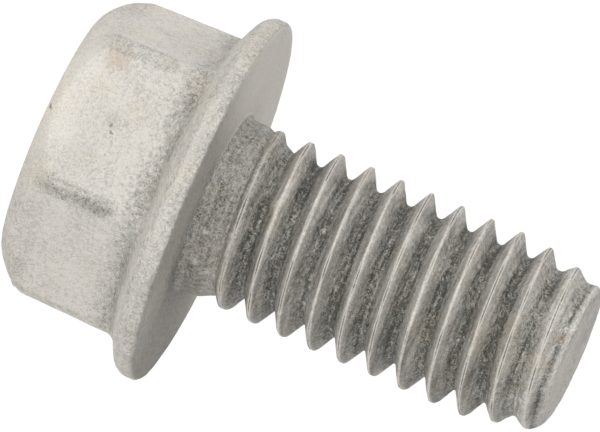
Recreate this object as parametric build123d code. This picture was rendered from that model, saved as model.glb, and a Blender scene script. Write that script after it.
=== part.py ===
"""Hexagon flange bolt, inch coarse thread, zinc coated, forged and thread-rolled in one piece.

The bolt stands on the top of its head with the shank up.
The origin is the centre of the flange's bearing face and +Z points from the head to the tip.
One pair of flats on the hexagon faces +Y and -Y, so two corners lie on the X axis.
Small roundings are turned as short cones, which leaves the facets of a mesh to the thread.
"""
from build123d import *

import math
import os

# ---------------------------------------------------------------- driving dimensions, mm and degrees
INCH = 25.4
THREADS_PER_INCH = 16             # coarse right-hand thread for a 3/8 in bolt
THREAD_MAJOR_DIAMETER = 9.3
THREAD_ANGLE = 60.0
THREAD_CREST_FLAT = 0.14          # width left on a rolled crest
THREAD_ROOT_FLAT = 0.32           # width of the groove's bottom
THREAD_START_ANGLE = 173.7        # where a crest, led downwards, meets the bearing face's height
SHANK_LENGTH = 19.0               # bearing face to tip, 3/4 in nominal

ACROSS_FLATS = 14.0               # 9/16 in wrench size, at mid-height of the hexagon
CORNER_CUT = 0.223                # the die leaves each corner this much short of a sharp one
HEAD_HEIGHT = 8.36                # bearing face to head top
HEAD_DRAFT = 1.2                  # the hexagon narrows towards its top
HEAD_TOP_DIAMETER = 12.5          # flat circle inside the chamfer
HEAD_CHAMFER_HEIGHT = 1.7
HEAD_CHAMFER_CROWN = 0.17         # how far the chamfer bulges from a straight cone
HEAD_CORNER_BLEND = 0.3           # softens each side of a rounded corner
HEXAGON_FOOT_FLARE = 0.4          # the hexagon spreads by this where it stands on the flange

FLANGE_DIAMETER = 18.76
FLANGE_CONE_ANGLE = 25.6          # slope of the flange's upper side, from the bearing face
FLANGE_RIM_LAND = 0.42            # bearing face to the start of the rim's large rounding
FLANGE_RIM_RADIUS = 0.87
FLANGE_LOWER_EDGE_BREAK = 0.2

NECK_DIAMETER = 8.9
NECK_LENGTH = 1.1                 # plain cylinder under the head
NECK_FLARE = 0.35                 # the neck widens by this where it meets the bearing face
RUN_OUT_LENGTH = 1.75             # the groove rises out of the shank over this height

TIP_DIAMETER = 7.6
TIP_TAPER_LENGTH = 3.7
TIP_EDGE_BREAK = 0.35

STOCK_MARGIN = 3.0                # reach of the cutting tools past the thread's crests
STOCK_OVERRUN = 10.0              # the bar runs on past the groove by at least this at each end
OVERLAP = 0.5                     # how deep one body is sunk into the next before they are joined
RUN_OUT_SINK = 0.05               # the run-out's cone ends this far under the groove's bottom

# ---------------------------------------------------------------- worked out from the above
PITCH = INCH / THREADS_PER_INCH
MAJOR_RADIUS = THREAD_MAJOR_DIAMETER / 2
FLANK_SLOPE = math.tan(math.radians(THREAD_ANGLE / 2))
MINOR_RADIUS = MAJOR_RADIUS - (PITCH - THREAD_CREST_FLAT - THREAD_ROOT_FLAT) / 2 / FLANK_SLOPE
GROOVE_TURNS = math.ceil(SHANK_LENGTH / PITCH) + 1
NECK_RADIUS = NECK_DIAMETER / 2
TIP_RADIUS = TIP_DIAMETER / 2
TIP_SLOPE = (MAJOR_RADIUS - TIP_RADIUS) / TIP_TAPER_LENGTH
HEAD_MIDDLE = -HEAD_HEIGHT / 2
DRAFT_SLOPE = math.tan(math.radians(HEAD_DRAFT))
CONE_SLOPE = math.tan(math.radians(FLANGE_CONE_ANGLE))
ACROSS_CORNERS = ACROSS_FLATS / math.cos(math.radians(30)) - 2 * CORNER_CUT
BASE_CORNER_RADIUS = ACROSS_CORNERS / 2 - HEAD_MIDDLE * DRAFT_SLOPE
LEDGE = FLANGE_DIAMETER / 2 - BASE_CORNER_RADIUS
RIM_RADIUS = min(FLANGE_RIM_RADIUS, LEDGE * 2 / 3)
FOOT_FLARE = min(HEXAGON_FOOT_FLARE, LEDGE / 2)
STOCK_RADIUS = MAJOR_RADIUS + STOCK_MARGIN


def turned(*points):
    """Solid of revolution about Z from the corners of its outline, in radius and height."""
    return revolve(Plane.XZ * make_face(Polyline(*points, close=True)), Axis.Z)


def rounding(centre, radius, start, end, cones):
    """Corners of a rounding turned as a few cones, between two angles from the radial direction."""
    angles = [math.radians(start + (end - start) * step / cones) for step in range(cones + 1)]
    return [(centre[0] + radius * math.cos(a), centre[1] + radius * math.sin(a)) for a in angles]


def rim_outline():
    """Upper part of the flange's outline, from the rim's land to the start of the cone."""
    centre = (FLANGE_DIAMETER / 2 - RIM_RADIUS, -FLANGE_RIM_LAND)
    return rounding(centre, RIM_RADIUS, 0, FLANGE_CONE_ANGLE - 90, cones=3)


def cone_height(radius):
    """Height of the flange's cone at a radius."""
    start_radius, start_height = rim_outline()[-1]
    return start_height - (start_radius - radius) * CONE_SLOPE


def flange():
    """Flat bearing face, rounded rim and conical upper side."""
    rim_radius = FLANGE_DIAMETER / 2
    return turned(
        (0, 0),
        (rim_radius - FLANGE_LOWER_EDGE_BREAK, 0),
        (rim_radius, -FLANGE_LOWER_EDGE_BREAK),
        *rim_outline(),
        (0, cone_height(0)),
    )


def hexagon():
    """Drafted hexagon, its corners and top rim rounded by the die and the chamfer."""
    prism = extrude(
        RegularPolygon(ACROSS_FLATS / 2 - HEAD_MIDDLE * DRAFT_SLOPE, 6, major_radius=False),
        amount=HEAD_HEIGHT,
        dir=(0, 0, -1),
        taper=HEAD_DRAFT,
    )
    chamfer_end = -HEAD_HEIGHT + HEAD_CHAMFER_HEIGHT
    shoulder = Vector(BASE_CORNER_RADIUS + chamfer_end * DRAFT_SLOPE, chamfer_end)
    top_rim = Vector(HEAD_TOP_DIAMETER / 2, -HEAD_HEIGHT)
    along = (shoulder - top_rim).normalized()
    crown = (shoulder + top_rim) * 0.5 + Vector(along.Y, -along.X) * HEAD_CHAMFER_CROWN
    core = prism & turned((0, 0), (BASE_CORNER_RADIUS, 0), shoulder, crown, top_rim, (0, -HEAD_HEIGHT))
    corner_edges = [edge for edge in core.edges() if edge.bounding_box().size.Z > HEAD_HEIGHT / 2]
    return fillet(corner_edges, HEAD_CORNER_BLEND)


def is_foot_edge(edge):
    """Whether an edge lies where the hexagon meets the flange's cone."""
    box = edge.bounding_box()
    on_hexagon = max(box.max.X, -box.min.X) < BASE_CORNER_RADIUS
    margin = HEAD_CORNER_BLEND / 2
    lowest = cone_height(ACROSS_FLATS / 2) - margin
    highest = cone_height(BASE_CORNER_RADIUS) + margin
    return on_hexagon and lowest < box.min.Z < highest


def head():
    """Hexagon and flange, with a flare where the hexagon stands on the flange's cone."""
    blank = flange() + hexagon()
    foot_edges = [edge for edge in blank.edges() if is_foot_edge(edge)]
    return chamfer(foot_edges, FOOT_FLARE)


def threaded_bar():
    """Bar longer than the shank with the groove between the crests swept along a helix.

    A crest meets the bearing face's height on the +X side.
    The bar's seam is turned away from the groove's start.
    """
    mouth_radius = MAJOR_RADIUS + THREAD_CREST_FLAT / 4 / FLANK_SLOPE
    mouth = PITCH / 2 - THREAD_CREST_FLAT / 4
    root = THREAD_ROOT_FLAT / 2
    section = make_face(
        Polyline(
            (mouth_radius, mouth),
            (MINOR_RADIUS, root),
            (MINOR_RADIUS, -root),
            (mouth_radius, -mouth),
            close=True,
        )
    )
    path = Helix(PITCH, GROOVE_TURNS * PITCH, MINOR_RADIUS)
    groove = Pos(0, 0, -PITCH / 2) * sweep(Plane.XZ * section, path=path, is_frenet=True)
    bar = Pos(0, 0, SHANK_LENGTH / 2) * Cylinder(MAJOR_RADIUS, SHANK_LENGTH + 2 * STOCK_OVERRUN)
    return Rot(0, 0, 180) * bar - groove


def tip_cutter():
    """Everything outside the tapered tip with its broken edge."""
    reach = MAJOR_RADIUS + OVERLAP
    reach_height = SHANK_LENGTH - (reach - TIP_RADIUS) / TIP_SLOPE
    stock_end = SHANK_LENGTH + 2 * STOCK_OVERRUN
    return turned(
        (0, SHANK_LENGTH),
        (TIP_RADIUS - TIP_EDGE_BREAK, SHANK_LENGTH),
        (TIP_RADIUS + TIP_EDGE_BREAK * TIP_SLOPE, SHANK_LENGTH - TIP_EDGE_BREAK),
        (reach, reach_height),
        (STOCK_RADIUS, reach_height),
        (STOCK_RADIUS, stock_end),
        (0, stock_end),
    )


def neck():
    """Plain neck that widens towards the head and closes the groove with a cone."""
    run_out_end = NECK_LENGTH + RUN_OUT_LENGTH
    return turned(
        (0, -OVERLAP),
        (NECK_RADIUS + NECK_FLARE, -OVERLAP),
        (NECK_RADIUS + NECK_FLARE, 0),
        (NECK_RADIUS, NECK_FLARE),
        (NECK_RADIUS, NECK_LENGTH),
        (MINOR_RADIUS - RUN_OUT_SINK, run_out_end),
        (0, run_out_end),
    )


def shank():
    """Neck and rolled thread, cut to length with a tapered tip."""
    foot_cutter = Pos(0, 0, NECK_LENGTH / 2 - STOCK_OVERRUN) * Cylinder(STOCK_RADIUS, 2 * STOCK_OVERRUN)
    seam_turn = Rot(0, 0, 200)
    thread = threaded_bar() - seam_turn * tip_cutter() - foot_cutter
    return Rot(0, 0, THREAD_START_ANGLE) * (thread + seam_turn * neck())


bolt = head() + shank()
bolt.label = "flange_bolt"

os.makedirs("parts", exist_ok=True)
export_step(bolt, "parts/flange_bolt.step")
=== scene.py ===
"""Looks of a hot-dip galvanised hexagon flange bolt that stands on its head.

The bolt is one closed mesh. It is laid out as columns round the axis, and each column follows the
bolt's outline from the centre of the head's top, over the flange and along the thread, to the tip.
On the thread the rows of the mesh climb with the helix, so every crest is a clean edge.
Lengths are millimetres until a mesh is written, and angles are degrees unless a name says otherwise.
"""

import logging
import math
from dataclasses import dataclass, field
from enum import Enum

import bmesh
import bpy
import numpy as np
from mathutils import Matrix, Vector, noise


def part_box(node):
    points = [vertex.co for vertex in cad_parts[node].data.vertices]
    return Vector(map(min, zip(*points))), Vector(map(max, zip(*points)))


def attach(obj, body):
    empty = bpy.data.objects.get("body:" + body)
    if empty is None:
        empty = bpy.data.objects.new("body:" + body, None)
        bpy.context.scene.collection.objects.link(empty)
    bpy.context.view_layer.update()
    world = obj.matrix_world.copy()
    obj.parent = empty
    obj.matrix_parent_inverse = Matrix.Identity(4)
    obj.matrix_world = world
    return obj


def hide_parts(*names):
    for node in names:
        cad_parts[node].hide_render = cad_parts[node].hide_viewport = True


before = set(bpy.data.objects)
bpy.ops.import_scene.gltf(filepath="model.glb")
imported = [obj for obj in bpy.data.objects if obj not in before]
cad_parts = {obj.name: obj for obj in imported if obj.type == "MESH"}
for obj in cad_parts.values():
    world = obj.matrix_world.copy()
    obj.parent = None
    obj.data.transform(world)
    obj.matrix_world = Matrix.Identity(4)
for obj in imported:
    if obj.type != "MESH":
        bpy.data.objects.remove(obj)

MM = 0.001
BOLT_NODE = "flange_bolt"
BODY = "root"
SIDES = 6
SIDE_TURN = 360 / SIDES  # angle that one side of the hexagon takes up
SEAT_MARGIN = 0.02       # heights this close to nought belong to the bearing face
FLAT_MARGIN = 0.002      # heights this close to a flat face lie on it
MERGE_DISTANCE = 0.002   # vertices closer than this are one

Row = tuple[np.ndarray, np.ndarray]
Rings = np.ndarray | list[np.ndarray]

log = logging.getLogger("flange_bolt")


# --------------------------------------------------------------------------- small helpers


def linear(hex_colour: str) -> tuple[float, float, float, float]:
    """Turns an sRGB colour into the linear values that shaders take.

    Args:
        hex_colour: The colour as "#RRGGBB".

    Returns:
        Red, green, blue and alpha, linear.
    """
    channels = [int(hex_colour[i : i + 2], 16) / 255 for i in (1, 3, 5)]
    bent = [c / 12.92 if c <= 0.04045 else ((c + 0.055) / 1.055) ** 2.4 for c in channels]
    return (*bent, 1.0)


def per_metre(size_mm: float) -> float:
    """Scale of a pattern in object coordinates (metres) whose features are size_mm apart."""
    return 1 / (size_mm * MM)


def ramp(value: np.ndarray, start: float, end: float) -> np.ndarray:
    """Goes evenly from nought to one as a value goes from start to end."""
    return np.clip((value - start) / (end - start), 0, 1)


def bell(away: np.ndarray, reach: float) -> np.ndarray:
    """One on a line, fading with the distance from it."""
    return np.exp(-((away / reach) ** 2))


def turn_between(angle: np.ndarray, start: float) -> np.ndarray:
    """Turn from a start to each angle, between minus and plus half a turn."""
    return (angle - start + 180) % 360 - 180


def smooth_min(a: np.ndarray, b: np.ndarray, blend: float) -> np.ndarray:
    """The lesser of two surfaces, rounded over the blend width where they cross."""
    overlap = np.maximum(blend - np.abs(a - b), 0.0)
    return np.minimum(a, b) - overlap**2 / (4 * blend)


def smooth_max(a: np.ndarray, b: np.ndarray, blend: float) -> np.ndarray:
    """The greater of two surfaces, filled over the blend width where they cross."""
    return -smooth_min(-a, -b, blend)


# --------------------------------------------------------------------------- shapes


@dataclass(frozen=True)
class HexFlangeHead:
    """Forged hexagon on a conical flange with a rounded rim.

    Heights are measured from the bearing face, with the head below it. The hexagon's corners lie at
    nought degrees and at every further turn of a side.
    """

    height: float
    flange_radius: float
    across_flats: float = 14.0
    across_corners: float = 15.72
    draft: float = 1.2
    top_radius: float = 6.25
    chamfer_height: float = 1.7
    chamfer_power: float = 1.26
    corner_blend: float = 0.07
    chamfer_blend: float = 0.07
    cone_angle: float = 25.6
    rim_land: float = 0.42
    rim_radius: float = 0.87
    lower_edge_radius: float = 0.23
    foot_radius: float = 0.7
    top_rings: int = 10
    chamfer_rings: int = 22
    chamfer_crowding: float = 1.5
    side_rings: int = 14
    foot_rings: int = 9
    cone_rings: int = 4
    rim_rings: int = 11
    lower_edge_rings: int = 6
    seat_rings: int = 15

    def slope(self) -> float:
        """How fast the hexagon widens towards the flange."""
        return math.tan(math.radians(self.draft))

    def cone_slope(self) -> float:
        """How fast the flange's upper side rises towards the axis."""
        return math.tan(math.radians(self.cone_angle))

    def side_radius(self, z: np.ndarray, angle: np.ndarray) -> np.ndarray:
        """Distance of the hexagon's side from the axis.

        Args:
            z: Heights.
            angle: Angles round the axis.

        Returns:
            The radius at each height and angle.
        """
        growth = self.slope() * (z + self.height / 2)
        from_flat = np.radians(np.abs(angle % SIDE_TURN - SIDE_TURN / 2))
        flat = (self.across_flats / 2 + growth) / np.cos(from_flat)
        corner = self.across_corners / 2 + growth
        return smooth_min(flat, corner, self.corner_blend)

    def chamfer_radius(self, z: np.ndarray) -> np.ndarray:
        """Radius of the crowned chamfer, which is a surface of revolution.

        Args:
            z: Heights.

        Returns:
            The radius at each height.
        """
        share = ramp(z, -self.height, self.chamfer_height - self.height)
        shoulder = self.across_corners / 2 + self.slope() * (self.chamfer_height - self.height / 2)
        bulge = (1 - (1 - share) ** self.chamfer_power) ** (1 / self.chamfer_power)
        return self.top_radius + (shoulder - self.top_radius) * bulge

    def top_rows(self, angle: np.ndarray) -> list[Row]:
        """Rings from the centre of the head's top, over the chamfer and down the hexagon.

        Args:
            angle: Angles of the columns.

        Returns:
            Radius and height of each ring.
        """
        ones = np.ones_like(angle)
        shares = np.linspace(0, 1, self.top_rings + 2)[1:-1]
        rows = [(self.top_radius * share * ones, -self.height * ones) for share in shares]
        for share in np.linspace(0, 1, self.chamfer_rings) ** self.chamfer_crowding:
            z = (-self.height + self.chamfer_height * share) * ones
            side = self.side_radius(z, angle)
            rows.append((smooth_min(side, self.chamfer_radius(z), self.chamfer_blend), z))
        chamfer_end = self.chamfer_height - self.height
        foot_top = self.foot(angle)[0][1]
        for share in np.linspace(0, 1, self.side_rings + 2)[1:-1]:
            z = chamfer_end + (foot_top - chamfer_end) * share
            rows.append((self.side_radius(z, angle), z))
        return rows

    def past_corner(self, r: np.ndarray, angle: np.ndarray) -> np.ndarray:
        """Distance round the hexagon past the nearest corner's centre line, with a sign."""
        return r * np.radians((angle + SIDE_TURN / 2) % SIDE_TURN - SIDE_TURN / 2)

    def corner_half_width(self) -> float:
        """Half the width of the rounded band that the die leaves on a corner."""
        cosine = self.across_flats / self.across_corners
        return self.across_corners / 2 * (math.radians(SIDE_TURN / 2) - math.acos(cosine))

    def foot(self, angle: np.ndarray) -> list[Row]:
        """Fillet between the hexagon's side and the flange's cone, worked out for each column.

        Args:
            angle: Angles of the columns.

        Returns:
            Radius and height of each ring, from the hexagon to the cone.
        """
        cone_radius, cone_z = self.cone_edge()
        base = self.side_radius(np.zeros_like(angle), angle)
        slope, rise = self.slope(), self.cone_slope()
        z = (cone_z - (cone_radius - base) * rise) / (1 - slope * rise)
        r = base + slope * z
        up = np.array([-slope, -1.0]) / math.hypot(slope, 1)
        out = np.array([1.0, rise]) / math.hypot(1, rise)
        half_opening = math.acos(float(up @ out)) / 2
        bisector = (up + out) / np.linalg.norm(up + out)
        to_centre = bisector * self.foot_radius / math.sin(half_opening)
        tangent = self.foot_radius / math.tan(half_opening)
        start, end = (math.atan2(*(way * tangent - to_centre)[::-1]) for way in (up, out))
        turn = (end - start + math.pi) % (2 * math.pi) - math.pi
        rows = []
        for t in start + turn * np.linspace(0, 1, self.foot_rings):
            step_r = to_centre[0] + self.foot_radius * math.cos(t)
            step_z = to_centre[1] + self.foot_radius * math.sin(t)
            rows.append((r + step_r, z + step_z))
        return rows

    def cone_edge(self) -> tuple[float, float]:
        """Where the cone meets the rim's rounding.

        Returns:
            Radius and height.
        """
        turn = math.radians(90 - self.cone_angle)
        centre = self.flange_radius - self.rim_radius
        return centre + self.rim_radius * math.cos(turn), -self.rim_land - self.rim_radius * math.sin(turn)

    def flange_rows(self, angle: np.ndarray, seat_radius: float) -> list[Row]:
        """Rings from the foot of the hexagon, over the rim and in across the bearing face.

        Args:
            angle: Angles of the columns.
            seat_radius: Inner radius of the bearing face.

        Returns:
            Radius and height of each ring.
        """
        ones = np.ones_like(angle)
        rows = self.foot(angle)
        foot_r, foot_z = rows[-1]
        edge_r, edge_z = self.cone_edge()
        for share in np.linspace(0, 1, self.cone_rings + 2)[1:-1]:
            rows.append((foot_r + (edge_r - foot_r) * share, foot_z + (edge_z - foot_z) * share))
        for turn in np.radians(np.linspace(self.cone_angle - 90, 0, self.rim_rings)):
            r = self.flange_radius - self.rim_radius * (1 - math.cos(turn))
            rows.append((r * ones, (-self.rim_land + self.rim_radius * math.sin(turn)) * ones))
        small = self.lower_edge_radius
        for turn in np.radians(np.linspace(0, 90, self.lower_edge_rings)):
            r = self.flange_radius - small * (1 - math.cos(turn))
            rows.append((r * ones, -small * (1 - math.sin(turn)) * ones))
        for r in np.linspace(self.flange_radius - small, seat_radius, self.seat_rings + 1)[1:]:
            rows.append((r * ones, 0 * ones))
        return rows


@dataclass(frozen=True)
class ThreadedShank:
    """Rolled right-hand thread between a plain neck and a tapered tip.

    Heights are measured from the bearing face, with the shank above it.
    """

    length: float
    pitch: float = 25.4 / 16  # sixteen threads to the inch
    major_radius: float = 4.65
    flank_angle: float = 30.0
    crest_flat: float = 0.12
    crest_blend: float = 0.09
    root_radius: float = 0.26
    seam_depth: float = 0.035
    seam_width: float = 0.05
    start_angle: float = 173.7
    neck_radius: float = 4.45
    neck_length: float = 1.1
    neck_fillet: float = 0.35
    neck_fillet_rings: int = 5
    run_out: float = 1.75
    run_out_blend: float = 0.12
    crest_rise: float = 4.5
    crest_rise_blend: float = 0.06
    tip_radius: float = 3.82
    tip_taper: float = 3.7
    tip_blend: float = 0.05
    tip_round: float = 0.5
    least_depth_share: float = 0.15
    crest_rows: tuple[float, ...] = (0.0, 0.022, 0.045, 0.075, 0.115)
    flank_start: float = 0.19
    flank_rows: int = 5
    root_rows: int = 3

    def flank_slope(self) -> float:
        """Depth that a flank gains over a millimetre along the axis."""
        return 1 / math.tan(math.radians(self.flank_angle))

    def root_half_width(self) -> float:
        """Distance along the axis from a groove's middle to the start of its flanks."""
        return self.root_radius * math.cos(math.radians(self.flank_angle))

    def half_steps(self) -> np.ndarray:
        """Places of the mesh's rows from a crest to a root: close on the crest and in the root.

        Returns:
            Distances from the crest along the axis.
        """
        flank_end = self.pitch / 2 - self.root_half_width()
        flank = np.linspace(self.flank_start, flank_end, self.flank_rows)
        root = np.linspace(flank_end, self.pitch / 2, self.root_rows + 1)[1:]
        return np.concatenate([self.crest_rows, flank, root])

    def pitch_steps(self) -> np.ndarray:
        """Places of the rows over one pitch, from one crest to just before the next."""
        half = self.half_steps()
        return np.concatenate([half, self.pitch - half[1:-1][::-1]])

    def thread_radius(self, off_crest: np.ndarray) -> np.ndarray:
        """Radius of the endless thread.

        Args:
            off_crest: Distances along the axis from a crest's centre.

        Returns:
            The radius at each distance.
        """
        off = np.abs(off_crest)
        flank = (off - self.crest_flat / 2) * self.flank_slope()
        depth = smooth_max(flank, np.zeros_like(off), self.crest_blend)
        from_root = self.pitch / 2 - off
        half_root = self.root_half_width()
        flank_end = (self.pitch / 2 - half_root - self.crest_flat / 2) * self.flank_slope()
        drop = np.sqrt(np.maximum(self.root_radius**2 - np.minimum(from_root, half_root) ** 2, 0))
        rooted = flank_end + drop - self.root_radius * math.sin(math.radians(self.flank_angle))
        depth = np.where(from_root < half_root, rooted, depth)
        return self.major_radius - depth - self.seam_depth * bell(off, self.seam_width)

    def root_radius_at_bottom(self) -> float:
        """Radius of the shank at the bottom of the groove."""
        return float(self.thread_radius(np.array([self.pitch / 2]))[0])

    def off_crest(self, z: np.ndarray, angle: np.ndarray) -> np.ndarray:
        """Distance along the axis from the nearest crest's centre, positive towards the tip."""
        turns = z / self.pitch - (angle - self.start_angle) / 360
        return (turns - np.round(turns)) * self.pitch

    def into_end(self, z: np.ndarray) -> np.ndarray:
        """Nought below the tip's rounded edge, one at the end face."""
        return ramp(z, self.length - self.tip_round, self.length)

    def radius(self, z: np.ndarray, angle: np.ndarray) -> np.ndarray:
        """Radius of the finished shank, with its neck, run-out and tip.

        Args:
            z: Heights above the bearing face.
            angle: Angles round the axis.

        Returns:
            The radius at each height and angle.
        """
        r = self.thread_radius(self.off_crest(z, angle))
        root = self.root_radius_at_bottom()
        above_neck = z - self.neck_length
        core = self.neck_radius - np.maximum(above_neck, 0) / self.run_out * (self.neck_radius - root)
        r = smooth_max(r, core, self.run_out_blend)
        crest_growth = self.major_radius - self.neck_radius
        crest = self.neck_radius + np.maximum(above_neck, 0) / self.crest_rise * crest_growth
        r = smooth_min(r, crest, self.crest_rise_blend)
        r = np.where(above_neck < 0, self.neck_radius, r)
        tip = self.tip_radius + (self.length - z) / self.tip_taper * (self.major_radius - self.tip_radius)
        depth_share = (tip - root) / (self.major_radius - root)
        r = root + (r - root) * np.clip(depth_share, self.least_depth_share, 1)
        r = smooth_min(r, tip, self.tip_blend)
        return r - self.tip_round * (1 - np.sqrt(np.maximum(1 - self.into_end(z) ** 2, 0)))

    def neck_rows(self, angle: np.ndarray) -> list[Row]:
        """Rings of the hollow rounding between the bearing face and the neck.

        Args:
            angle: Angles of the columns.

        Returns:
            Radius and height of each ring.
        """
        rows = []
        for turn in np.radians(np.linspace(0, 90, self.neck_fillet_rings + 1)[1:]):
            r = self.seat_radius() - self.neck_fillet * math.sin(turn)
            z = self.neck_fillet * (1 - math.cos(turn))
            rows.append((r * np.ones_like(angle), z * np.ones_like(angle)))
        return rows

    def seat_radius(self) -> float:
        """Inner radius of the bearing face."""
        return self.neck_radius + self.neck_fillet


# --------------------------------------------------------------------------- marks on the zinc


class SurfaceMark(Enum):
    """Names of the values that the mesh carries for its finish."""

    # dullness of the zinc, with painted shade added in
    DULL_AND_SHADE = "dull"
    GRAIN = "grain"
    # painted light and painted highlights
    PAINTED_LIGHT = "bright"
    ROLLED = "rolled"


@dataclass(frozen=True)
class Line:
    """Mark along a line: how strong it is there and how far it reaches to each side."""

    level: float
    reach: float

    def soft(self, away: np.ndarray) -> np.ndarray:
        """Strength at a distance from the line, fading from the start."""
        return self.level * bell(away, self.reach)

    def broad(self, away: np.ndarray) -> np.ndarray:
        """Strength at a distance from the line, even at first and then fading fast."""
        return self.level * np.exp(-((away / self.reach) ** 4))


@dataclass(frozen=True)
class HeadMarks:
    """How dull the zinc on the head is, with painted shade and painted light laid over it.

    Strengths go from nought to one. A turn is an angle round the axis, and a fade is the pair of
    places between which a mark grows from nothing to full.
    """

    head: HexFlangeHead
    side_dull: float = 0.1
    # painted shade in the fillet at the hexagon's foot
    foot_shade: float = 0.34
    foot_centre: tuple[float, float] = (0.5, 0.15)
    foot_fade: tuple[float, float] = (1.0925, 0.1425)
    rim_dull: float = 0.14
    rim_reach: float = 0.3
    # painted shade along both edges of each corner
    near_edge: Line = Line(0.2, 0.14)
    far_edge: Line = Line(0.28, 0.1)
    corner_band: Line = Line(0.13, 0.55)
    # a dark band along the corner at this turn
    dark_band_turn: float = -60.0
    dark_band: Line = Line(0.44, 0.34)
    dark_band_shift: float = 0.1
    below_top_fade: tuple[float, float] = (0.7, 1.6)
    above_foot_fade: tuple[float, float] = (0.9, 1.5)
    lower_edge: Line = Line(0.55, 0.035)
    lower_edge_height: float = -0.045
    edge_width: float = 0.4
    neck_clearance: float = 4.5
    seat_dull: float = 0.03
    # painted shadow of the shank on one side of the bearing face
    shaded_dull: float = 0.78
    shaded_turn: float = -18.0
    shaded_fade: tuple[float, float] = (-0.625, 0.2083333)
    shaded_power: float = 1.5
    # painted shade on the bearing face close to the neck
    near_neck_shade: float = 0.16
    near_neck_fade: tuple[float, float] = (6.2, 5.0)
    # painted light on the chamfer and the rim's crown, strongest round this turn
    lit_turn: float = -92.0
    lit_side: Line = Line(0.45, 40.0)  # this reach is in degrees
    # painted shade on the rest of the chamfer
    chamfer_shade: float = 0.13
    chamfer_light: float = 0.25
    chamfer_end_reach: float = 0.175
    # painted highlight on the rim's crown
    crown_highlight: float = 0.1
    crown_width: float = 0.16
    crown_height: float = 0.3
    above_land: float = 0.35
    flat_bright: float = 0.2
    flat_fade: tuple[float, float] = (-2.9, -3.4)
    # painted light over the bearing face
    seat_light: float = 0.8
    seat_edge: Line = Line(1.0, 0.05)
    seat_edge_height: float = -0.03
    seat_edge_fade: tuple[float, float] = (0.4, 0.3)
    seat_start: float = 4.75
    least_grain: float = 0.4
    grain_gain: float = 0.5
    grain_fade: tuple[float, float] = (0.1, 0.35)
    seat_grain: float = 0.15

    def on_seat(self, r: np.ndarray, z: np.ndarray) -> np.ndarray:
        """Whether places lie on the bearing face."""
        return (z > -SEAT_MARGIN) & (r > self.neck_clearance)

    def on_chamfer(self, z: np.ndarray) -> np.ndarray:
        """One on the chamfer, nought on the hexagon's sides."""
        past_end = z + self.head.height - self.head.chamfer_height
        return ramp(past_end, self.chamfer_end_reach, -self.chamfer_end_reach)

    def foot_height(self) -> float:
        """Height at which the flats would meet the cone without the fillet."""
        edge_r, edge_z = self.head.cone_edge()
        return edge_z - (edge_r - self.head.across_flats / 2) * self.head.cone_slope()

    def corner_dull_and_shade(self, r: np.ndarray, z: np.ndarray, angle: np.ndarray) -> np.ndarray:
        """Dullness along the hexagon's corners: two thin edges of painted shade, the band between them
        and a dark band along one corner.

        Args:
            r: Distances from the axis.
            z: Heights, below nought.
            angle: Angles round the axis.

        Returns:
            How much duller each place is than the flats.
        """
        past_corner = self.head.past_corner(r, angle)
        half_width = self.head.corner_half_width()
        # painted shade along both edges of each corner
        edges = self.near_edge.soft(past_corner - half_width) + self.far_edge.soft(past_corner + half_width)
        lines = np.maximum(edges, self.corner_band.broad(past_corner))
        from_dark_band = np.radians(turn_between(angle, self.dark_band_turn)) * r - self.dark_band_shift
        lines = np.maximum(lines, self.dark_band.broad(from_dark_band))
        below_top = ramp(z + self.head.height, *self.below_top_fade)
        above_foot = ramp(self.foot_height() - z, *self.above_foot_fade)
        return lines * below_top * above_foot

    def seat_dull_and_shade(self, r: np.ndarray, angle: np.ndarray) -> np.ndarray:
        """Dullness of the bearing face, with painted shade: the shank's shadow on one side,
        and shade close to the neck.

        Args:
            r: Distances from the axis.
            angle: Angles round the axis.

        Returns:
            How dull each place is.
        """
        # painted shadow of the shank on one side, and painted shade close to the neck
        shaded = ramp(np.cos(np.radians(angle - self.shaded_turn)), *self.shaded_fade)
        near_neck = ramp(r, *self.near_neck_fade)
        shade = self.shaded_dull * shaded**self.shaded_power
        return self.seat_dull + shade + self.near_neck_shade * near_neck

    def dull_and_shade(self, r: np.ndarray, z: np.ndarray, angle: np.ndarray) -> np.ndarray:
        """How dull the zinc is on the head, with painted shade in the foot's fillet, along the corners,
        on most of the chamfer and on the bearing face.

        Args:
            r: Distances from the axis.
            z: Heights, below nought.
            angle: Angles round the axis.

        Returns:
            Nought for the palest zinc, one for the darkest.
        """
        # painted shade in the fillet at the hexagon's foot
        out, up = self.foot_centre
        from_foot = np.hypot(r - self.head.across_flats / 2 - out, z - self.foot_height() - up)
        foot = self.foot_shade * ramp(from_foot, *self.foot_fade)
        rim = self.rim_dull * ramp(r - self.head.cone_edge()[0], 0, self.rim_reach)
        on_edge = r > self.head.flange_radius - self.edge_width
        lower_edge = self.lower_edge.soft(z - self.lower_edge_height) * on_edge
        corners = self.corner_dull_and_shade(r, z, angle)
        # painted shade on the chamfer away from its painted light
        unlit_chamfer = self.chamfer_shade * (1 - bell(angle - self.lit_turn, self.lit_side.reach))
        side = self.side_dull + np.maximum.reduce([foot, rim, lower_edge, corners])
        side += unlit_chamfer * self.on_chamfer(z)
        return np.where(self.on_seat(r, z), self.seat_dull_and_shade(r, angle), side)

    def brightness(self, r: np.ndarray, z: np.ndarray, angle: np.ndarray) -> np.ndarray:
        """Painted light on the chamfer, strongest round one turn, a painted highlight on the rim's crown,
        brighter flats away from the foot, a bright line along the flange's lower edge, and painted light
        on the bearing face.

        Args:
            r: Distances from the axis.
            z: Heights, below nought.
            angle: Angles round the axis.

        Returns:
            Nought for plain zinc, one for the brightest.
        """
        # painted light on the chamfer, strongest round one turn
        lit_share = self.chamfer_light + self.lit_side.soft(angle - self.lit_turn)
        chamfer = lit_share * self.on_chamfer(z)
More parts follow.
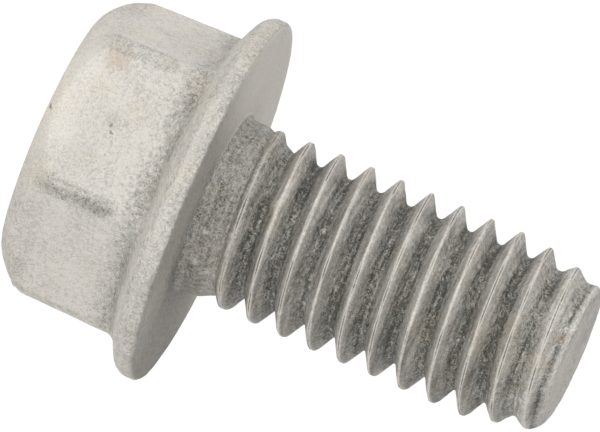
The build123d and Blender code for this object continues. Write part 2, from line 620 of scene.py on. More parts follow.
        # painted highlight on the rim's crown
        from_crown = z + self.head.rim_land + self.above_land
        on_crown = bell(r - self.head.flange_radius, self.crown_width) * bell(from_crown, self.crown_height)
        crown = (self.crown_highlight + lit_share) * on_crown
        flats = self.flat_bright * ramp(z, *self.flat_fade)
        near_rim = ramp(self.head.flange_radius - r, *self.seat_edge_fade)
        seat_edge = self.seat_edge.soft(z - self.seat_edge_height) * near_rim
        # painted light over the bearing face
        seat = self.seat_light * self.on_seat(r, z)
        return np.maximum.reduce([chamfer, crown, flats, seat_edge, seat])

    def grain(self, dull: np.ndarray, r: np.ndarray, z: np.ndarray) -> np.ndarray:
        """How grainy the zinc is: more where dullness and shade are high, and little on the bearing face.

        Args:
            dull: How dull and shaded each place is.
            r: Distances from the axis.
            z: Heights, below nought.

        Returns:
            Nought for the smoothest zinc, one for the grainiest.
        """
        seat = (np.abs(z) < SEAT_MARGIN) & (r > self.seat_start)
        plain = self.least_grain + self.grain_gain * ramp(dull, *self.grain_fade)
        return np.where(seat, self.seat_grain, plain)


@dataclass(frozen=True)
class ShankMarks:
    """How dull the zinc on the shank is, with painted shade and painted highlights laid over it,
    and where the rolling dies left its crests folded.

    Strengths go from nought to one, and a fade is the pair of values between which a mark grows from
    nothing to full.
    """

    shank: ThreadedShank
    # painted shade: the flange's shadow on the neck
    neck_shade: float = 0.6
    flank_dull: float = 0.38
    # darker zinc in the grooves, with painted shade laid over it
    groove_dull_and_shade: float = 0.5
    tip_paling: float = 0.7
    paling_start: float = 0.75
    end_dull: float = 0.2
    end_bright: float = 0.4
    end_edge: Line = Line(0.3, 0.14)
    end_edge_share: float = 0.8
    # painted highlight along the two lips of each crest
    crest_highlight: Line = Line(0.95, 0.05)
    highlight_offset: float = 0.055
    # painted shade in the fold between each crest's lips
    seam_shade: Line = Line(0.9, 0.028)
    fold_mean: float = 0.5
    fold_gain: float = 2.6
    fold_stretch: tuple[float, float, float] = (0.5, 0.5, 0.9)
    thread_reach: float = 1.0
    tip_margin: float = 0.3
    least_grain: float = 0.1
    grain_fade: tuple[float, float] = (0.4, 0.8)
    neck_rolled: float = 0.4
    neck_fade: tuple[float, float] = (0.08, 0.48)
    rolled_fade: tuple[float, float] = (1.2, 2.0)

    def dull_and_shade(self, r: np.ndarray, z: np.ndarray) -> np.ndarray:
        """How dull the zinc is on the shank, with painted shade: the flange's shadow on the neck, and shade
        in the grooves over their darker zinc, all less towards the tip.

        Args:
            r: Distances from the axis.
            z: Heights above the bearing face.

        Returns:
            Nought for the palest zinc, one for the darkest.
        """
        shank = self.shank
        # darker zinc in the grooves, with painted shade laid over it
        groove = ramp(r, shank.major_radius, shank.root_radius_at_bottom())
        thread = self.flank_dull + self.groove_dull_and_shade * groove**2
        into_thread = ramp(z - shank.neck_length, 0, shank.run_out)
        near_tip = np.clip((z - shank.length) / shank.tip_taper + self.paling_start, 0, 1)
        on_end = shank.into_end(z)
        from_edge = z - shank.length + self.end_edge_share * shank.tip_round
        # painted shade on the neck: the flange's shadow
        dull = self.neck_shade + (thread - self.neck_shade) * into_thread
        dull = dull * (1 - self.tip_paling * near_tip)
        return dull * (1 - on_end) + self.end_dull * on_end + self.end_edge.soft(from_edge)

    def in_thread(self, r: np.ndarray, z: np.ndarray) -> np.ndarray:
        """One where the thread is full, nought on the neck and on the end face."""
        on_thread = r > self.shank.tip_radius - self.tip_margin
        return ramp(z - self.shank.neck_length, 0, self.thread_reach) * on_thread

    def folded(self, points: np.ndarray, in_thread: np.ndarray) -> np.ndarray:
        """How far the two lips of metal on a crest stand apart, which changes along the thread.

        Args:
            points: Places, one row each.
            in_thread: One where the thread is full.

        Returns:
            Nought where the lips have closed, one where they gape.
        """
        stretch = Vector(self.fold_stretch)
        patches = np.array([noise.noise(Vector(p) * stretch) for p in points])
        return np.clip(self.fold_mean + self.fold_gain * patches, 0, 1) * in_thread

    def brightness(
        self, z: np.ndarray, off_crest: np.ndarray, folded: np.ndarray, in_thread: np.ndarray
    ) -> np.ndarray:
        """Painted highlights on the two lips of each crest, and a brighter end face."""
        # painted highlights on the crest's lips
        from_highlight = np.abs(off_crest) - self.highlight_offset * folded
        return np.maximum(self.crest_highlight.soft(from_highlight) * in_thread, self.end_bright * self.shank.into_end(z))

    def grain(self, dull: np.ndarray, z: np.ndarray) -> np.ndarray:
        """How grainy the zinc is: smooth on crests and flanks, rough in grooves and on the end."""
        in_groove = self.least_grain + (1 - self.least_grain) * ramp(dull, *self.grain_fade)
        return np.maximum(in_groove, self.shank.into_end(z))

    def rolled(self, z: np.ndarray) -> np.ndarray:
        """How much the zinc follows the rolled metal: little on the neck, fully on the thread."""
        on_thread = (1 - self.neck_rolled) * ramp(z, *self.rolled_fade)
        return self.neck_rolled * ramp(z, *self.neck_fade) + on_thread


# --------------------------------------------------------------------------- zinc with height


@dataclass(frozen=True)
class ZincBead:
    """Drop of zinc that froze on the surface before it could run off."""

    turn: float
    height: float
    width: float
    rise: float


@dataclass(frozen=True)
class LumpLayer:
    """One layer of unevenness: its lumps' distance and height, and where in the noise it is read."""

    size: float
    high: float
    shift: tuple[float, float, float]


@dataclass(frozen=True)
class ZincLumps:
    """Unevenness of the zinc that has real height: long waves, lumps and grains of frozen zinc."""

    layers: tuple[LumpLayer, ...] = (
        LumpLayer(size=3.2, high=0.03, shift=(3.1, 7.7, 1.3)),
        LumpLayer(size=0.85, high=0.022, shift=(11.9, 2.3, 5.1)),
        LumpLayer(size=0.36, high=0.014, shift=(0.7, 13.3, 9.9)),
    )

    def height(self, points: np.ndarray) -> np.ndarray:
        """Height of the unevenness at points.

        Args:
            points: Places in millimetres, one row each.

        Returns:
            One height in millimetres for each point.
        """
        total = np.zeros(len(points))
        for layer in self.layers:
            shift = Vector(layer.shift)
            levels = [noise.noise(Vector(p) / layer.size + shift) for p in points]
            total += layer.high * np.array(levels)
        return total


BEADS = (
    # burr on one corner of the head and the bump across from it, both on the chamfer
    ZincBead(turn=12.4, height=-7.25, width=0.2, rise=0.34),
    ZincBead(turn=9.0, height=-6.95, width=0.15, rise=0.14),
    ZincBead(turn=-167.6, height=-6.85, width=0.32, rise=0.17),
    # metal pushed up along the corner with the dark band and along the next one
    ZincBead(turn=-64.5, height=-6.6, width=0.28, rise=0.08),
    ZincBead(turn=-64.8, height=-5.6, width=0.35, rise=0.07),
    ZincBead(turn=-65.0, height=-4.4, width=0.4, rise=0.06),
    ZincBead(turn=-116.0, height=-4.6, width=0.4, rise=0.09),
    ZincBead(turn=-115.0, height=-3.7, width=0.35, rise=0.1),
    # drops on the neck and on the first turns of the thread
    ZincBead(turn=-91.7, height=3.38, width=0.24, rise=0.2),
    ZincBead(turn=-75.0, height=1.4, width=0.3, rise=0.08),
    ZincBead(turn=-112.0, height=1.9, width=0.25, rise=0.07),
    ZincBead(turn=-36.0, height=0.75, width=0.22, rise=0.12),
    ZincBead(turn=-58.0, height=0.8, width=0.2, rise=0.1),
    ZincBead(turn=-62.0, height=1.7, width=0.25, rise=0.1),
)


# --------------------------------------------------------------------------- the bolt's mesh


@dataclass
class RowSet:
    """Rings of the mesh: the radius and the height of every column, ring by ring."""

    radius: list[np.ndarray] = field(default_factory=list)
    height: list[np.ndarray] = field(default_factory=list)

    def add(self, rows: list[Row]) -> None:
        """Adds rings in order."""
        self.radius += [r for r, _ in rows]
        self.height += [z for _, z in rows]


@dataclass
class FlangeBolt:
    """The whole bolt: its head and its shank in one closed mesh."""

    head: HexFlangeHead
    shank: ThreadedShank
    head_marks: HeadMarks
    shank_marks: ShankMarks
    lumps: ZincLumps
    beads: tuple[ZincBead, ...]
    flat_share: float = 0.15
    columns_per_side: int = 40
    corner_crowding: float = 0.72
    thread_low: float = 0.55
    tip_rows: int = 10
    end_rings: int = 8
    spare_turns: int = 3  # turns of rows past the thread's ends, which are held level there and merged

    def angles(self) -> np.ndarray:
        """Angles of the mesh's columns, closer together at the hexagon's corners."""
        share = np.arange(self.columns_per_side * SIDES) / self.columns_per_side
        return SIDE_TURN * (share - self.corner_crowding * np.sin(2 * np.pi * share) / (2 * np.pi))

    def build(self) -> bpy.types.Object:
        """Makes the bolt's mesh object.

        Returns:
            The object, in metres, in the frame of the bolt.
        """
        angle = self.angles()
        ones = np.ones_like(angle)
        rings = RowSet()
        rings.add(self.head.top_rows(angle))
        rings.add(self.head.flange_rows(angle, self.shank.seat_radius()))
        rings.add(self.shank.neck_rows(angle))
        rings.add([(self.shank.neck_radius * ones, self.thread_low * ones)])
        mesh = self.stitch(angle, rings)
        return bpy.data.objects.new("galvanised_flange_bolt", mesh)

    def climbing_points(self, angle: np.ndarray, high: float) -> np.ndarray:
        """Rows of the thread, which climb with the helix and are held level at both ends.

        Args:
            angle: Angles of the columns.
            high: Height at which the thread's rows end.

        Returns:
            Points, row by row.
        """
        pitch, low = self.shank.pitch, self.thread_low
        first_crest = self.shank.start_angle / -360 * pitch
        lowest_crest = low - pitch + (first_crest - low) % pitch
        turns = int(math.ceil((high - low) / pitch)) + self.spare_turns
        starts = lowest_crest + pitch * (np.arange(turns) - 1)
        start_heights = (starts[:, None] + self.shank.pitch_steps()[None, :]).ravel()
        z = np.clip(start_heights[:, None] + pitch * angle[None, :] / 360, low, high)
        r = self.shank.radius(z, np.broadcast_to(angle, z.shape))
        return self.ring_points(angle, r, z)

    def tip_points(self, angle: np.ndarray, high: float) -> np.ndarray:
        """Rings of the tip's rounded edge and of its end face.

        Args:
            angle: Angles of the columns.
            high: Height at which the rounded edge starts.

        Returns:
            Points, ring by ring.
        """
        level = high + self.shank.tip_round * np.sin(np.radians(np.linspace(0, 90, self.tip_rows)))
        edge_z = np.broadcast_to(level[:, None], (self.tip_rows, len(angle)))
        edge_r = self.shank.radius(edge_z, np.broadcast_to(angle, edge_z.shape))
        end_r = np.linspace(1, 0, self.end_rings + 2)[1:-1, None] * edge_r[-1][None, :]
        edge = self.ring_points(angle, edge_r, edge_z)
        end = self.ring_points(angle, end_r, np.full_like(end_r, self.shank.length))
        return np.concatenate([edge, end])

    def stitch(self, angle: np.ndarray, rings: RowSet) -> bpy.types.Mesh:
        """Joins the level rings, the climbing rows of the thread and the caps into one mesh.

        Args:
            angle: Angles of the columns.
            rings: The level rings from the head's top to the start of the thread.

        Returns:
            The closed mesh.
        """
        columns = len(angle)
        high = self.shank.length - self.shank.tip_round
        level = self.ring_points(angle, rings.radius, rings.height)
        bands = [level, self.climbing_points(angle, high), self.tip_points(angle, high)]
        climbs = [0, len(self.shank.pitch_steps()), 0]
        offsets = np.cumsum([0] + [len(band) * columns for band in bands])
        faces: list[tuple[int, ...]] = []
        for band, climb, offset in zip(bands, climbs, offsets):
            faces += self.ring_faces(len(band), columns, climb, int(offset))
        centres = [[0, 0, -self.head.height], [0, 0, self.shank.length]]
        vertices = np.concatenate([band.reshape(-1, 3) for band in bands] + [centres])
        low_centre, high_centre = len(vertices) - 2, len(vertices) - 1
        last = int(offsets[-1]) - columns
        for i in range(columns):
            j = (i + 1) % columns
            faces.append((low_centre, j, i))
            faces.append((high_centre, last + i, last + j))
        mesh = bpy.data.meshes.new("galvanised_flange_bolt")
        mesh.from_pydata((vertices * MM).tolist(), [], faces)
        self.clean(mesh)
        return mesh

    @staticmethod
    def ring_points(angle: np.ndarray, radius: Rings, height: Rings) -> np.ndarray:
        """Turns rings of radius and height into points.

        Args:
            angle: Angles of the columns.
            radius: Radius of every column, ring by ring.
            height: Height of every column, ring by ring.

        Returns:
            Points, ring by ring.
        """
        r, z = np.asarray(radius, float), np.asarray(height, float)
        turn = np.radians(angle)[None, :]
        return np.stack([r * np.cos(turn), r * np.sin(turn), z], axis=-1)

    @staticmethod
    def ring_faces(rows: int, columns: int, climb: int, offset: int) -> list[tuple[int, int, int, int]]:
        """Quads of a band of rows.

        Args:
            rows: How many rows the band has.
            columns: How many columns.
            climb: How many rows the band has climbed when it closes on itself.
            offset: Index of the band's first vertex.

        Returns:
            The quads, as indices of vertices.
        """
        faces = []
        for k in range(rows - 1):
            for i in range(columns):
                if i + 1 < columns:
                    corners = (k, i), (k, i + 1), (k + 1, i + 1), (k + 1, i)
                elif k + 1 + climb < rows:
                    corners = (k, i), (k + climb, 0), (k + 1 + climb, 0), (k + 1, i)
                else:
                    continue
                faces.append(tuple(offset + row * columns + column for row, column in corners))
        return faces

    def clean(self, mesh: bpy.types.Mesh) -> None:
        """Merges the rows that were held at the ends of the thread and leaves one closed surface.

        Args:
            mesh: The bolt's mesh, changed in place.
        """
        work = bmesh.new()
        work.from_mesh(mesh)
        bmesh.ops.remove_doubles(work, verts=work.verts, dist=MERGE_DISTANCE * MM)
        bmesh.ops.dissolve_degenerate(work, dist=MERGE_DISTANCE / 2 * MM, edges=work.edges)
        bmesh.ops.recalc_face_normals(work, faces=work.faces)
        open_edges = sum(not edge.is_manifold for edge in work.edges)
        counts = len(work.verts), len(work.faces), open_edges
        log.info("bolt mesh: %d vertices, %d faces, %d open edges", *counts)
        work.to_mesh(mesh)
        work.free()

    def add_zinc_lumps(self, piece: bpy.types.Object) -> None:
        """Raises the zinc's unevenness along the normals, least on the flats, and keeps the size.

        Args:
            piece: The bolt's mesh object.
        """
        mesh = piece.data
        count = len(mesh.vertices)
        places, normals = np.empty(count * 3), np.empty(count * 3)
        mesh.vertices.foreach_get("co", places)
        mesh.vertex_normals.foreach_get("vector", normals)
        points, normals = places.reshape(-1, 3) / MM, normals.reshape(-1, 3)
        x, y, z = points.T
        r = np.hypot(x, y)
        on_top = z < -self.head.height + FLAT_MARGIN
        on_seat = (np.abs(z) < FLAT_MARGIN) & (r > self.shank.neck_radius)
        height = self.lumps.height(points)
        height = np.where(on_top | on_seat, self.flat_share * height, height)
        height = np.where(on_top, np.minimum(height, 0), height)
        angle = np.degrees(np.arctan2(y, x))
        for bead in self.beads:
            across = np.radians(turn_between(angle, bead.turn)) * r
            height += bead.rise * bell(np.hypot(across, z - bead.height), bead.width)
        points = points + normals * height[:, None]
        # nothing may stand out past the rim, the head's top or the tip
        rim = self.head.flange_radius
        reach = np.maximum(np.hypot(points[:, 0], points[:, 1]), rim)
        points[:, :2] *= (rim / reach)[:, None]
        points[:, 2] = np.clip(points[:, 2], -self.head.height, self.shank.length)
        mesh.vertices.foreach_set("co", (points * MM).ravel())
        mesh.update()

    def mark_surface(self, piece: bpy.types.Object) -> None:
        """Writes how dull and shaded, grainy, bright with painted light and rolled the zinc is at each
        vertex.

        Args:
            piece: The bolt's mesh object.
        """
        mesh = piece.data
        places = np.empty(len(mesh.vertices) * 3)
        mesh.vertices.foreach_get("co", places)
        points = places.reshape(-1, 3) / MM
        x, y, z = points.T
        r, angle = np.hypot(x, y), np.degrees(np.arctan2(y, x))
        on_shank = z > SEAT_MARGIN
        head_dull_and_shade = self.head_marks.dull_and_shade(r, z, angle)
        head_grain = self.head_marks.grain(head_dull_and_shade, r, z)
        head_light = self.head_marks.brightness(r, z, angle)
        marks = self.shank_marks
        off_crest = self.shank.off_crest(z, angle)
        in_thread = marks.in_thread(r, z)
        folded = marks.folded(points, in_thread)
        shank_dull_and_shade = marks.dull_and_shade(r, z)
        # painted shade in the fold of each crest
        crest_seam_shade = folded * marks.seam_shade.soft(off_crest)
        shank_light = marks.brightness(z, off_crest, folded, in_thread)
        values = {
            SurfaceMark.DULL_AND_SHADE: np.where(on_shank, shank_dull_and_shade + crest_seam_shade, head_dull_and_shade),
            SurfaceMark.GRAIN: np.where(on_shank, marks.grain(shank_dull_and_shade, z), head_grain),
            SurfaceMark.PAINTED_LIGHT: np.where(on_shank, shank_light, head_light),
            SurfaceMark.ROLLED: marks.rolled(z),
        }
        for mark, value in values.items():
            layer = mesh.attributes.new(mark.value, "FLOAT", "POINT")
            layer.data.foreach_set("value", value.astype(np.float32))


# --------------------------------------------------------------------------- finishes

# numbers of a mix node's sockets, for plain values and for colours
MIX_FACTOR = 0
MIX_VALUE_A, MIX_VALUE_B = 2, 3
MIX_COLOUR_A, MIX_COLOUR_B, MIX_COLOUR_RESULT = 6, 7, 2
NOISE_MIDDLE = 0.5  # a noise swings about this value


def add(
    tree: bpy.types.NodeTree, kind: str, inputs: dict | None = None, **settings: object
) -> bpy.types.Node:
    """Adds a node, with its settings, and fills or links its inputs.

    Args:
        tree: The node tree.
        kind: The node's type.
        inputs: What goes into each socket, by name or number: a value, or an output to link.
        settings: The node's own properties.

    Returns:
        The new node.
    """
    node = tree.nodes.new(kind)
    for name, value in settings.items():
        setattr(node, name, value)
    for key, value in (inputs or {}).items():
        if isinstance(value, bpy.types.NodeSocket):
            tree.links.new(value, node.inputs[key])
        else:
            node.inputs[key].default_value = value
    return node


def empty_tree(owner: "bpy.types.Material | bpy.types.World") -> bpy.types.NodeTree:
    """Turns on the nodes of a material or a world and clears them.

    Args:
        owner: The material or the world.

    Returns:
        Its node tree, empty.
    """
    owner.use_nodes = True
    owner.node_tree.nodes.clear()
    return owner.node_tree


class Pattern(Enum):
    """Noises that break up the zinc."""

    GRAIN = "finest grains"
    CLUMP = "clumps of grains"
    CLOUD = "patches a few millimetres wide"
    STREAK = "lines drawn out round the shank, as the rolling dies leave them"
    FLECK = "peaks are drops of fresh zinc caught on the shank"
    WARM = "faint warm patches"
    RAGGED = "edges of the single spots"


Marks = dict[SurfaceMark, bpy.types.NodeSocket]
Noises = dict[Pattern, bpy.types.Node]


@dataclass(frozen=True)
class ZincNoise:
    """One noise: the distance between its features in millimetres, and how they are broken up."""

    pattern: Pattern
    size: float
    detail: float
    roughness: float = 0.5


@dataclass(frozen=True)
class ZincShift:
    """How far a noise shifts the dullness, where a mark on the mesh is nought and where it is one."""

    pattern: Pattern
    mark: SurfaceMark
    least: float
    most: float


@dataclass(frozen=True)
class ZincSpot:
    """Small stain, pit or drop at one place on the zinc."""

    place: tuple[float, float, float]
    radius: float
    colour: str
    strength: float


SPOTS = (
    # brown stain on one flat, and two pits with a grey smear at the flat's middle
    ZincSpot(place=(-3.13, -6.93, -6.14), radius=0.9, colour="#B59A70", strength=0.4),
    ZincSpot(place=(0.04, -7.02, -5.01), radius=0.14, colour="#4A453E", strength=0.8),
    ZincSpot(place=(0.38, -7.01, -4.85), radius=0.13, colour="#4A453E", strength=0.85),
    ZincSpot(place=(-0.25, -7.02, -5.1), radius=0.5, colour="#8F887C", strength=0.3),
    # dark pit on the chamfer
    ZincSpot(place=(0.3, -6.62, -8.17), radius=0.22, colour="#3B3630", strength=1.0),
    # pale drops round the neck
    ZincSpot(place=(3.54, -2.70, 0.69), radius=0.32, colour="#D9D6CE", strength=0.7),
    ZincSpot(place=(2.26, -3.84, 0.69), radius=0.3, colour="#D9D6CE", strength=0.6),
    ZincSpot(place=(3.72, -2.13, 1.40), radius=0.3, colour="#D9D6CE", strength=0.5),
    # brown marks on the tip's edge and pale ones on its end
    ZincSpot(place=(0.15, -3.61, 18.39), radius=0.4, colour="#9C8468", strength=0.6),
    ZincSpot(place=(1.51, -3.28, 18.39), radius=0.4, colour="#9C8468", strength=0.6),
    ZincSpot(place=(-0.71, -3.35, 18.90), radius=0.3, colour="#ECE9E2", strength=0.8),
    ZincSpot(place=(0.35, -2.21, 18.90), radius=0.26, colour="#ECE9E2", strength=0.7),
)


@dataclass(frozen=True)
class GalvanisedZinc:
    """Hot-dip galvanised steel with a dull, weathered zinc skin.

    The zinc froze into fine grains and then oxidised, so the eye sees a pale, slightly warm matt grey
    that is speckled like fine sandpaper, palest where painted light is laid on and darkest in the thread,
    where painted shade is laid over darker zinc.
    The crystals of a thin zinc skin are finer than the render shows, so the grains are drawn as coarse
    as they need to be to show as a speckle.
    """

    pale: str = "#D3CFC8"
    # colour of painted light and highlights, and of the fresh zinc flecks
    bright: str = "#E6E0D7"
    # colour of the darkest zinc and of painted shade
    dark: str = "#54544D"
    warm: str = "#C3B196"
    metallic: float = 0.3
    roughness: float = 0.6
    noises: tuple[ZincNoise, ...] = (
        ZincNoise(Pattern.GRAIN, size=0.085, detail=1.0, roughness=0.6),
        ZincNoise(Pattern.CLUMP, size=0.24, detail=2.0, roughness=0.6),
        ZincNoise(Pattern.CLOUD, size=1.7, detail=3.0),
        ZincNoise(Pattern.STREAK, size=0.22, detail=3.0, roughness=0.7),
        ZincNoise(Pattern.FLECK, size=0.55, detail=2.0, roughness=0.7),
        ZincNoise(Pattern.WARM, size=2.3, detail=4.0),
        ZincNoise(Pattern.RAGGED, size=0.3, detail=3.0),
    )
    shifts: tuple[ZincShift, ...] = (
        ZincShift(Pattern.GRAIN, SurfaceMark.GRAIN, least=0.75, most=1.2),
        ZincShift(Pattern.CLUMP, SurfaceMark.GRAIN, least=0.55, most=1.25),
        ZincShift(Pattern.CLOUD, SurfaceMark.GRAIN, least=0.35, most=0.5),
        ZincShift(Pattern.STREAK, SurfaceMark.ROLLED, least=0.0, most=1.5),
    )
    streak_squeeze: tuple[float, float, float] = (0.06, 0.06, 1.0)
    # how the painted light is broken up, how faint it may get and how much dullness and shade it lifts
    lit_fade: tuple[float, float] = (0.36, 0.57)
    least_lit: float = 0.3
    lit_clearing: float = 0.6
    fleck_fade: tuple[float, float] = (0.63, 0.76)
    fleck_strength: float = 0.6
    warm_fade: tuple[float, float] = (0.5, 0.75)
    warm_strength: float = 0.4
    ragged_reach: float = 0.45
    least_bump: float = 0.35
    grain_rise: float = 0.05
    clump_rise: float = 0.16
    spots: tuple[ZincSpot, ...] = ()

    def material(self) -> bpy.types.Material:
        """Builds the node material.

        Returns:
            The material.
        """
        material = bpy.data.materials.new("galvanised_zinc")
        tree = empty_tree(material)
        place = add(tree, "ShaderNodeTexCoord").outputs["Object"]
        inputs = {0: place, 1: self.streak_squeeze}
        squeezed = add(tree, "ShaderNodeVectorMath", inputs, operation="MULTIPLY")
        noises: Noises = {}
        for part in self.noises:
            inputs = {
                "Vector": squeezed.outputs[0] if part.pattern is Pattern.STREAK else place,
                "Scale": per_metre(part.size),
                "Detail": part.detail,
                "Roughness": part.roughness,
            }
            noises[part.pattern] = add(tree, "ShaderNodeTexNoise", inputs)
        marks: Marks = {}
        for mark in SurfaceMark:
            marks[mark] = add(tree, "ShaderNodeAttribute", attribute_name=mark.value).outputs["Fac"]
        tone = self.stained(tree, noises, self.tone(tree, noises, marks), place)
        inputs = {"Value": marks[SurfaceMark.GRAIN], "To Min": self.least_bump}
        strength = add(tree, "ShaderNodeMapRange", inputs).outputs[0]
        height = noises[Pattern.GRAIN].outputs["Fac"]
        inputs = {"Height": height, "Strength": strength, "Distance": self.grain_rise * MM}
        fine = add(tree, "ShaderNodeBump", inputs)
        height = noises[Pattern.CLUMP].outputs["Fac"]
        inputs = {"Height": height, "Strength": strength, "Distance": self.clump_rise * MM}
        coarse = add(tree, "ShaderNodeBump", {**inputs, "Normal": fine.outputs[0]})
        inputs = {
            "Base Color": tone,
            "Metallic": self.metallic,
            "Roughness": self.roughness,
            "Normal": coarse.outputs[0],
        }
        shader = add(tree, "ShaderNodeBsdfPrincipled", inputs)
        add(tree, "ShaderNodeOutputMaterial", {"Surface": shader.outputs[0]})
        return material

    def dulled_and_shaded(self, tree: bpy.types.NodeTree, noises: Noises, marks: Marks) -> bpy.types.NodeSocket:
        """Dullness of the zinc with its painted shade: the mark on the mesh,
        shifted up and down by the noises.

        Args:
            tree: The node tree.
            noises: The noises' nodes.
            marks: The marks on the mesh.

        Returns:
            The dullness.
        """
        dull = marks[SurfaceMark.DULL_AND_SHADE]
        for shift in self.shifts:
            inputs = {"Value": marks[shift.mark], "To Min": shift.least, "To Max": shift.most}
            gain = add(tree, "ShaderNodeMapRange", inputs)
            inputs = {0: noises[shift.pattern].outputs["Fac"], 1: NOISE_MIDDLE}
            swing = add(tree, "ShaderNodeMath", inputs, operation="SUBTRACT")
            inputs = {0: swing.outputs[0], 1: gain.outputs[0], 2: dull}
            dull = add(tree, "ShaderNodeMath", inputs, operation="MULTIPLY_ADD").outputs[0]
        return dull

    def lit_share(self, tree: bpy.types.NodeTree, noises: Noises, marks: Marks) -> bpy.types.NodeSocket:
        """Share of painted light and highlight, broken up by clumps on the head and streaks on the thread.

        Args:
            tree: The node tree.
            noises: The noises' nodes.
            marks: The marks on the mesh.

        Returns:
            Nought for plain zinc, one for the brightest.
        """
        inputs = {
            MIX_FACTOR: marks[SurfaceMark.ROLLED],
            MIX_VALUE_A: noises[Pattern.CLUMP].outputs["Fac"],
            MIX_VALUE_B: noises[Pattern.STREAK].outputs["Fac"],
        }
        broken_up = add(tree, "ShaderNodeMix", inputs).outputs[0]
        low, high = self.lit_fade
        inputs = {"Value": broken_up, "From Min": low, "From Max": high, "To Min": self.least_lit}
        share = add(tree, "ShaderNodeMapRange", inputs)
        inputs = {0: marks[SurfaceMark.PAINTED_LIGHT], 1: share.outputs[0]}
        return add(tree, "ShaderNodeMath", inputs, operation="MULTIPLY").outputs[0]

    def tone(self, tree: bpy.types.NodeTree, noises: Noises, marks: Marks) -> bpy.types.NodeSocket:
        """Zinc's colour from the marks on the mesh, with their painted light and shade, broken up by its
        grains, with flecks on the shank.

        Args:
            tree: The node tree.
            noises: The noises' nodes.
            marks: The marks on the mesh.

        Returns:
            The colour.
        """
        lit_share = self.lit_share(tree, noises, marks)
        inputs = {MIX_FACTOR: lit_share, MIX_COLOUR_A: linear(self.pale), MIX_COLOUR_B: linear(self.bright)}
        pale = add(tree, "ShaderNodeMix", inputs, data_type="RGBA").outputs[MIX_COLOUR_RESULT]
        # painted light also lifts part of the dullness and the painted shade
        inputs = {0: lit_share, 1: -self.lit_clearing, 2: 1.0}
        left = add(tree, "ShaderNodeMath", inputs, operation="MULTIPLY_ADD")
        inputs = {0: self.dulled_and_shaded(tree, noises, marks), 1: left.outputs[0]}
        dull = add(tree, "ShaderNodeMath", inputs, operation="MULTIPLY", use_clamp=True)
        inputs = {MIX_FACTOR: dull.outputs[0], MIX_COLOUR_A: pale, MIX_COLOUR_B: linear(self.dark)}
        tone = add(tree, "ShaderNodeMix", inputs, data_type="RGBA").outputs[MIX_COLOUR_RESULT]
        low, high = self.fleck_fade
        flecks = noises[Pattern.FLECK].outputs["Fac"]
        inputs = {"Value": flecks, "From Min": low, "From Max": high, "To Max": self.fleck_strength}
        fleck = add(tree, "ShaderNodeMapRange", inputs)
        inputs = {0: fleck.outputs[0], 1: marks[SurfaceMark.ROLLED]}
        fleck = add(tree, "ShaderNodeMath", inputs, operation="MULTIPLY")
        inputs = {MIX_FACTOR: fleck.outputs[0], MIX_COLOUR_A: tone, MIX_COLOUR_B: linear(self.bright)}
        return add(tree, "ShaderNodeMix", inputs, data_type="RGBA").outputs[MIX_COLOUR_RESULT]

    def stained(
        self,
        tree: bpy.types.NodeTree,
        noises: Noises,
        tone: bpy.types.NodeSocket,
        place: bpy.types.NodeSocket,
    ) -> bpy.types.NodeSocket:
        """Adds faint warm patches and the single spots.

        Args:
            tree: The node tree.
            noises: The noises' nodes.
            tone: The colour so far.
            place: Object coordinates.

        Returns:
            The stained colour.
        """
        low, high = self.warm_fade
        patches = noises[Pattern.WARM].outputs["Fac"]
        inputs = {"Value": patches, "From Min": low, "From Max": high, "To Max": self.warm_strength}
        share = add(tree, "ShaderNodeMapRange", inputs)
        inputs = {MIX_FACTOR: share.outputs[0], MIX_COLOUR_A: tone, MIX_COLOUR_B: linear(self.warm)}
        warmed = add(tree, "ShaderNodeMix", inputs, data_type="RGBA", blend_type="SOFT_LIGHT")
        tone = warmed.outputs[MIX_COLOUR_RESULT]
        inputs = {0: noises[Pattern.RAGGED].outputs["Color"], 1: (NOISE_MIDDLE,) * 3}
        moved = add(tree, "ShaderNodeVectorMath", inputs, operation="SUBTRACT")
        inputs = {0: moved.outputs[0], 1: (self.ragged_reach * MM,) * 3, 2: place}
        ragged = add(tree, "ShaderNodeVectorMath", inputs, operation="MULTIPLY_ADD").outputs[0]
        for spot in self.spots:
            centre = tuple(value * MM for value in spot.place)
            away = add(tree, "ShaderNodeVectorMath", {0: ragged, 1: centre}, operation="DISTANCE")
            inputs = {
                "Value": away.outputs["Value"],
                "From Max": spot.radius * MM,
                "To Min": spot.strength,
                "To Max": 0.0,
            }
            share = add(tree, "ShaderNodeMapRange", inputs)
            inputs = {MIX_FACTOR: share.outputs[0], MIX_COLOUR_A: tone, MIX_COLOUR_B: linear(spot.colour)}
            tone = add(tree, "ShaderNodeMix", inputs, data_type="RGBA").outputs[MIX_COLOUR_RESULT]
        return tone


